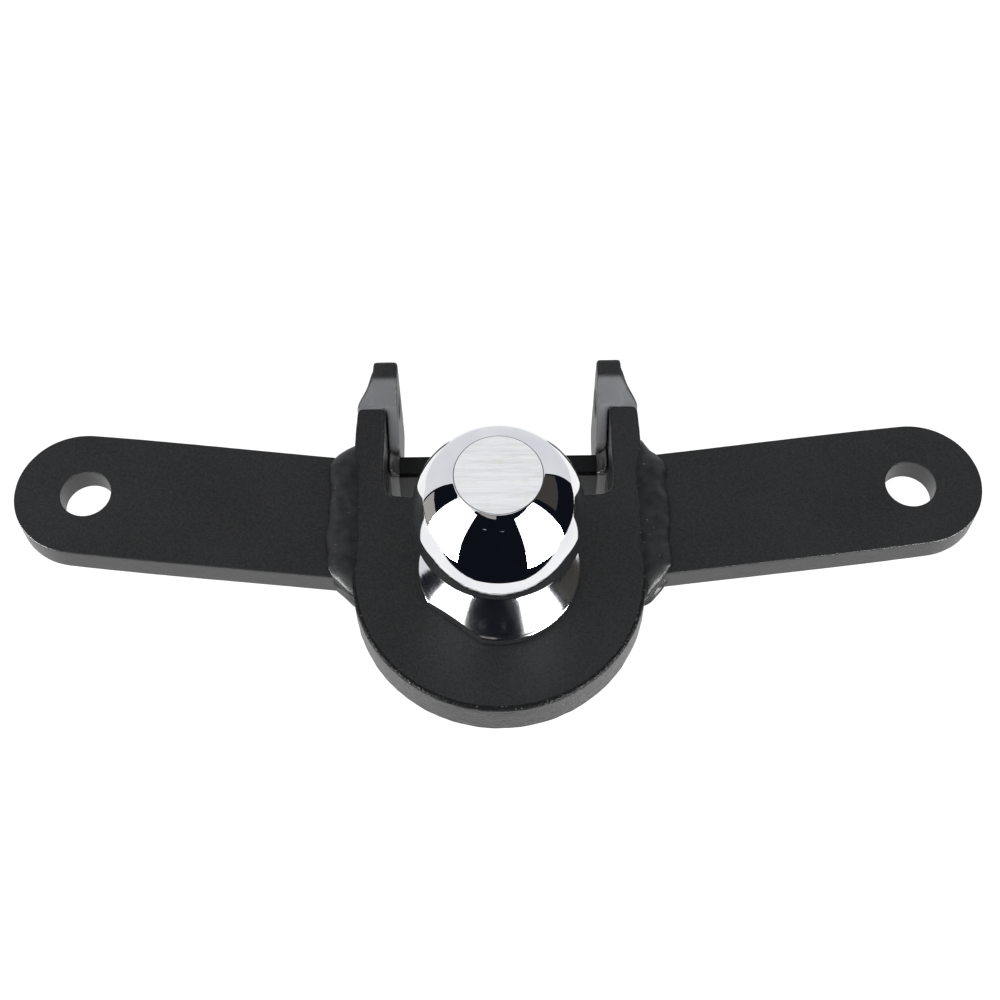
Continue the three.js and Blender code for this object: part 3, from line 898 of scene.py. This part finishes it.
def arm_bead(word, side, metal, lumpiness, seed):
    """One bead all the way round an arm, where it meets the side of the plate."""
    top_low, top_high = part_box(f"{word}_arm_top_weld")
    front_low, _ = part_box(f"{word}_arm_front_weld")
    _, rear_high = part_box(f"{word}_arm_rear_weld")
    _, arm_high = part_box(f"{word}_arm")
    root_x = min(abs(top_low.x), abs(top_high.x))
    leg_x = abs(top_high.x - top_low.x)
    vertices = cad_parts[f"{word}_arm"].data.vertices
    roots = [v.co.y for v in vertices if abs(abs(v.co.x) - root_x) < MM / 10]
    front_y, rear_y = min(roots), max(roots)
    middle_y, half_w = (front_y + rear_y) / 2, (rear_y - front_y) / 2
    half_h = arm_high.z
    front_leg, rear_leg = front_y - front_low.y, rear_high.y - rear_y
    bm = bmesh.new()
    dull_layer = bm.verts.layers.float.new("dull")
    rings = []
    for i in range(BEAD_STEPS):
        skin, out = rectangle_walk(i / BEAD_STEPS, half_w, half_h)
        level = abs(out.y)  # 1 on the top and underneath, 0 at the front and rear
        near_end = min(1, max(0, (abs(skin.x) - half_w) / BEAD_TAPER + 1))
        full = BEAD_FULLNESS * level * (1 - 0.5 * near_end**2)
        end_leg = (rear_leg if out.x > 0 else front_leg) * (1 + 0.25 * lumpiness)
        leg = (plate_high.z - half_h) * level + end_leg * (1 - level)
        leg += BEAD_STEP * level * lumpiness
        where = Vector((skin.x, skin.y, seed * MM))
        wave = noise.noise(where / BROAD_WAVE + Vector((seed, 0, 0)))
        wobble = noise.noise(where / SHORT_WAVE + Vector((0, seed, 3)))
        toe = leg_x * (1 - BEAD_NARROWING * near_end**2)
        toe += (1.3 * wave + 0.4 * wobble) * lumpiness * MM
        lap = BEAD_LAP * max(0.8 * (1 - level), 1 - 0.55 * near_end) * (1 + 0.4 * wobble)
        walked = i / BEAD_STEPS * 4 * (half_w + half_h)
        ring = []
        for row in range(BEAD_ROWS + 1):
            v = row / BEAD_ROWS
            along, rise = bead_section(v, toe, lap, leg, full)
            crown = math.sin(v * math.pi)
            ripple = math.sin(walked * 2 * math.pi / RIPPLE_PITCH + 3 * crown + 9 * wave)
            spot = Vector((skin.x, skin.y, v * BEAD_DEPTH))
            lump = noise.noise(spot / LUMP_SIZE + Vector((seed, seed, 0)))
            knob = noise.noise(spot / KNOB_SIZE + Vector((0, seed, seed)))
            knobs = 0.08 + 1.1 * (1 - level)
            relief = 0.02 * ripple * (1 + wave) + lumpiness * (0.4 * lump + knobs * knob)
            swell = relief * crown * MM + BEAD_CROWN * level * lumpiness * crown
            height = rise + swell
            along += 0.5 * swell
            y = middle_y + skin.x + out.x * height + max(0, along) * math.tan(ARM_SWEEP)
            vertex = bm.verts.new((side * (root_x + along), y, skin.y + out.y * height))
            toes = max(1.3 - v / 0.4, (v - 0.8) / 0.2, 0)
            pocks = min(1, max(0, 0.85 + 0.9 * knob))
            vertex[dull_layer] = toes * level + pocks * (1 - level)
            ring.append(vertex)
        inside = skin - out * ROOT_BURIED
        for along in (-lap - BACK_BURIED, toe - TOE_BURIED):
            buried = 0 if along > 0 else max(0, leg - 0.8 * MM)
            spot = inside + out * buried
            y = middle_y + spot.x + max(0, along) * math.tan(ARM_SWEEP)
            ring.append(bm.verts.new((side * (root_x + along), y, spot.y)))
        rings.append(ring)
    for i, ring in enumerate(rings):
        onward = rings[(i + 1) % BEAD_STEPS]
        for j in range(len(ring)):
            k = (j + 1) % len(ring)
            bm.faces.new((ring[j], onward[j], onward[k], ring[k])).smooth = True
    nodes = [f"{word}_arm_{place}_weld" for place in ("top", "bottom", "front", "rear")]
    piece(f"{word}_arm_bead", bm, [metal], "bracket", "coated_weld", *nodes)


ARM_BEADS = {"left": (0.7, 3.1), "right": (1.25, 8.4)}  # lumpiness and seed of the noise
BAR_BEAD_CELL = 0.3 * MM
BAR_BEAD_PASSES = 4
BAR_BEAD_UNEVEN = 0.3 * MM


def make_welds(metal):
    """The beads round the arms and at the ends of the cross bar."""
    for word, side in SIDES:
        arm_bead(word, side, metal, *ARM_BEADS[word])
        bm = softened(
            cad_bmesh(f"{word}_bar_weld"), BAR_BEAD_CELL, BAR_BEAD_PASSES, BAR_BEAD_UNEVEN,
        )
        piece(f"{word}_bar_bead", bm, [metal], "bracket", "coated_weld", f"{word}_bar_weld")


# ------------------------------------------------------------------ ball, shank, washer and nut


BALL_TURNS = 256
UNDER_BELT_ANGLE = -34  # the round underside ends here, below a nearly straight belt
BELT_DROP = 4.8 * MM
BELT_TAPER = 0.14 * MM
BELT_INSET = 0.03 * MM
BELT_SHOULDER = 1.9 * MM  # above the ball's centre, where the belt rounds into the top
OVER_BELT_ANGLE = 9  # the round top starts here
FLAT_EDGE_ANGLE = 0.5  # and ends this much short of the flat, for its broken edge
FLAT_Z = ball_high.z
FLAT_R = math.sqrt(BALL_R**2 - (FLAT_Z - BALL_CENTRE.z) ** 2)
NECK_R = 14 * MM
FLANGE_R = 25 * MM
FLANGE_Z = plate_high.z + 0.3 * MM
FLANGE_RIM_H = 3 * MM
FLANGE_EDGE_R = 0.4 * MM
FLANGE_TOP_Z = 24 * MM
WRENCH_FLAT = 22.7 * MM
WRENCH_EDGE_R = 0.25 * MM
WRENCH_ANGLE = math.radians(52.3)
SHANK_R = 12.5 * MM
THREAD_PITCH = 25.4 / 14 * MM
THREAD_DEPTH = 1.0 * MM
THREAD_ROWS = 8  # rows of vertices in each pitch of the thread
SHANK_TURNS = 72
SHANK_CHAMFER = 1.5 * MM
SHANK_IN_PLATE = 6 * MM  # how far it runs on up inside the plate's bore


def lathe(bm, profile, turns, material_of):
    """Turns a profile of (radius, z) about the ball's axis, and closes points that lie on it.

    material_of gives the material slot of each stretch of the profile by its index.
    """
    rings = []
    for radius, z in profile:
        if radius < 1e-7:
            rings.append([bm.verts.new((BALL_AXIS.x, BALL_AXIS.y, z))])
            continue
        ring = []
        for i in range(turns):
            a = 2 * math.pi * i / turns
            ring.append(bm.verts.new((
                BALL_AXIS.x + radius * math.cos(a), BALL_AXIS.y + radius * math.sin(a), z,
            )))
        rings.append(ring)
    for index, (lower, upper) in enumerate(zip(rings, rings[1:])):
        for i in range(turns):
            j = (i + 1) % turns
            corners = (
                lower[i % len(lower)], lower[j % len(lower)],
                upper[j % len(upper)], upper[i % len(upper)],
            )
            face = bm.faces.new(list(dict.fromkeys(corners)))
            face.smooth = True
            face.material_index = material_of(index)


def arc_points(centre, radius, start, end, steps):
    """(radius, z) points on an arc, angles in degrees from the level."""
    out = []
    for i in range(steps + 1):
        a = math.radians(start + (end - start) * i / steps)
        out.append((centre[0] + radius * math.cos(a), centre[1] + radius * math.sin(a)))
    return out


def bezier(a, b, c, steps):
    """Points on a quadratic curve."""
    out = []
    for i in range(steps + 1):
        t = i / steps
        out.append(tuple(
            (1 - t) ** 2 * p + 2 * t * (1 - t) * q + t * t * r for p, q, r in zip(a, b, c)
        ))
    return out


def make_ball(mirror, flat, turned):
    """The chrome forging above the plate: flange with two wrench flats, neck, ball, milled flat."""
    rim_z = FLANGE_Z + FLANGE_RIM_H
    neck_angle = -math.degrees(math.acos(NECK_R / BALL_R))
    flat_angle = math.degrees(math.asin((FLAT_Z - BALL_CENTRE.z) / BALL_R))
    cone = bezier(
        (FLANGE_R - 0.6 * MM, rim_z + 0.6 * MM), (15.5 * MM, rim_z + 6.5 * MM),
        (NECK_R, FLANGE_TOP_Z), 28,
    )
    low_r = FLANGE_R - FLANGE_EDGE_R
    under = [(0, FLANGE_Z), (SHANK_R, FLANGE_Z), (low_r, FLANGE_Z)]
    rim = arc_points((low_r, FLANGE_Z + FLANGE_EDGE_R), FLANGE_EDGE_R, -90, 0, 3)[1:]
    rim += [(FLANGE_R, FLANGE_Z + 1.7 * MM), (FLANGE_R, rim_z - 0.2 * MM)]
    rim += bezier((FLANGE_R, rim_z), (FLANGE_R, rim_z + 0.5 * MM), cone[0], 3)
    under_belt = arc_points((0, BALL_CENTRE.z), BALL_R, neck_angle, UNDER_BELT_ANGLE, 60)
    belt_r = BALL_R - BELT_INSET
    belt_top_r = belt_r - BELT_TAPER
    joined = under_belt[-1]
    lean = math.tan(math.radians(-UNDER_BELT_ANGLE))
    meet = (belt_r, joined[1] + (belt_r - joined[0]) / lean)
    over_belt = arc_points(
        (0, BALL_CENTRE.z), BALL_R, OVER_BELT_ANGLE, flat_angle - FLAT_EDGE_ANGLE, 90,
    )
    ball = under_belt + bezier(joined, meet, (belt_r, BALL_CENTRE.z - BELT_DROP), 24)[1:]
    belt_top = (belt_top_r, BALL_CENTRE.z)
    lean = BELT_TAPER / BELT_DROP
    shoulder = (belt_top_r - BELT_SHOULDER * lean, BALL_CENTRE.z + BELT_SHOULDER)
    ball += bezier(belt_top, shoulder, over_belt[0], 8) + over_belt[1:]
    edge_r = FLAT_R - 0.12 * MM
    top = [
        (edge_r, FLAT_Z - 0.02 * MM), (edge_r - 0.1 * MM, FLAT_Z),
        (edge_r * 0.6, FLAT_Z), (0, FLAT_Z),
    ]
    profile = under + rim + cone[1:] + ball[1:] + top
    first_polished = len(under) + len(rim) + len(cone) - 1
    first_flat = len(profile) - len(top)
    bm = bmesh.new()
    lathe(
        bm, profile, BALL_TURNS,
        lambda index: 1 if index >= first_flat else 0 if index >= first_polished else 2,
    )
    for half in (0, math.pi):
        way = Vector((math.cos(WRENCH_ANGLE + half), math.sin(WRENCH_ANGLE + half), 0))
        faces = [f for f in bm.faces if f.calc_center_median().z < FLANGE_TOP_Z]
        verts = {v for f in faces for v in f.verts}
        edges = {e for f in faces for e in f.edges}
        cut = bmesh.ops.bisect_plane(
            bm, geom=[*verts, *edges, *faces], dist=1e-7,
            plane_co=BALL_AXIS + way * WRENCH_FLAT, plane_no=way, clear_outer=True,
        )
        border = [e for e in cut["geom_cut"] if isinstance(e, bmesh.types.BMEdge)]
        made = bmesh.ops.contextual_create(bm, geom=border)
        for face in made["faces"]:
            face.smooth = True
        bmesh.ops.bevel(
            bm, geom=border, offset=WRENCH_EDGE_R, offset_type="OFFSET", segments=2,
            profile=0.5, affect="EDGES", clamp_overlap=True,
        )
    for face in bm.faces:
        face.smooth = True
    obj = piece("tow_ball_chrome", bm, [mirror, flat, turned], "bracket", "chrome", "tow_ball")
    weigh_normals(obj)


def make_shank(metal):
    """The shank, with a real helical thread that starts at its chamfered lower end."""
    low, high = ball_low.z, plate_low.z + SHANK_IN_PLATE
    rows = round((high - low) * THREAD_ROWS / THREAD_PITCH)
    bm = bmesh.new()
    rings = []
    for row in range(rows + 1):
        z = low + (high - low) * row / rows
        ring = []
        for i in range(SHANK_TURNS):
            a = 2 * math.pi * i / SHANK_TURNS
            phase = (z / THREAD_PITCH - i / SHANK_TURNS) % 1
            groove = 1 - abs(2 * phase - 1)
            groove = min(1, max(0, (groove - 0.12) / 0.76))
            ends = min(1, (z - low) / SHANK_CHAMFER)
            radius = SHANK_R - THREAD_DEPTH * groove * ends - SHANK_CHAMFER * (1 - ends)
            ring.append(bm.verts.new((
                BALL_AXIS.x + radius * math.cos(a), BALL_AXIS.y + radius * math.sin(a), z,
            )))
        rings.append(ring)
    for lower, upper in zip(rings, rings[1:]):
        for i in range(SHANK_TURNS):
            j = (i + 1) % SHANK_TURNS
            bm.faces.new((lower[i], lower[j], upper[j], upper[i])).smooth = True
    bm.faces.new(list(reversed(rings[0])))
    bm.faces.new(rings[-1])
    piece("ball_shank", bm, [metal], "bracket", "chrome")


def make_fasteners(plate):
    """The split lock washer and the hex nut."""
    remade("split_washer", "lock_washer", plate, "washer", "zinc_plate", width=0.5 * MM, segments=3)
    remade("shank_nut", "hex_nut", plate, "nut", "zinc_plate", width=0.35 * MM, segments=3)


# ------------------------------------------------------------------ assembly

make_camera()
make_stage()

coat = powder_coat("powder_coat", (0.33, 0.45))
weld = coated_weld()
mirror = chrome("chrome", (0.012, 0.022), 0.003 * MM)
turned = chrome("turned_chrome", (0.09, 0.15), 0.03 * MM)
plating = zinc()

make_plate(coat)
make_arms(coat)
make_clevis(powder_coat("clevis_coat", (0.42, 0.54)))
make_welds(weld)
make_ball(mirror, milled_flat(), turned)
make_shank(mirror)
make_fasteners(plating)
